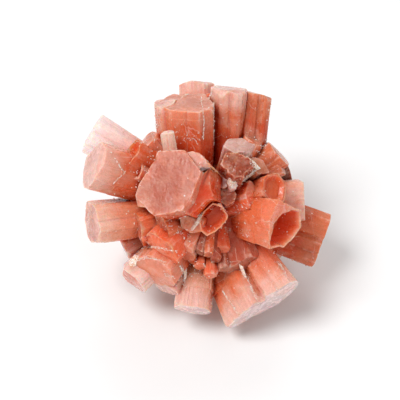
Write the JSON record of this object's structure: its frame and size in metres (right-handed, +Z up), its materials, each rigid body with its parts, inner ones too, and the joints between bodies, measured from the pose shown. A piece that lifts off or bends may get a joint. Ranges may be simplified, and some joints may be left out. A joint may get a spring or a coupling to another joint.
{
  "type": "aragonite crystal specimen",
  "caption": "Ball-shaped mineral specimen of stubby, flat-ended orange and pink crystals that radiate from one centre.",
  "frame": {"origin": "centre of the outer size in plan, at the level of the floor", "axes": "+Z up, the way the specimen stands on its lower crystals; -Y towards the side with the large six-sided crystal"},
  "size_m": [0.0506, 0.0436, 0.0391],
  "materials": {
    "aragonite": "satin, slightly translucent crystal"
  },
  "bodies": {
    "root": {"aragonite_cluster": "aragonite"}
  },
  "joints": []
}
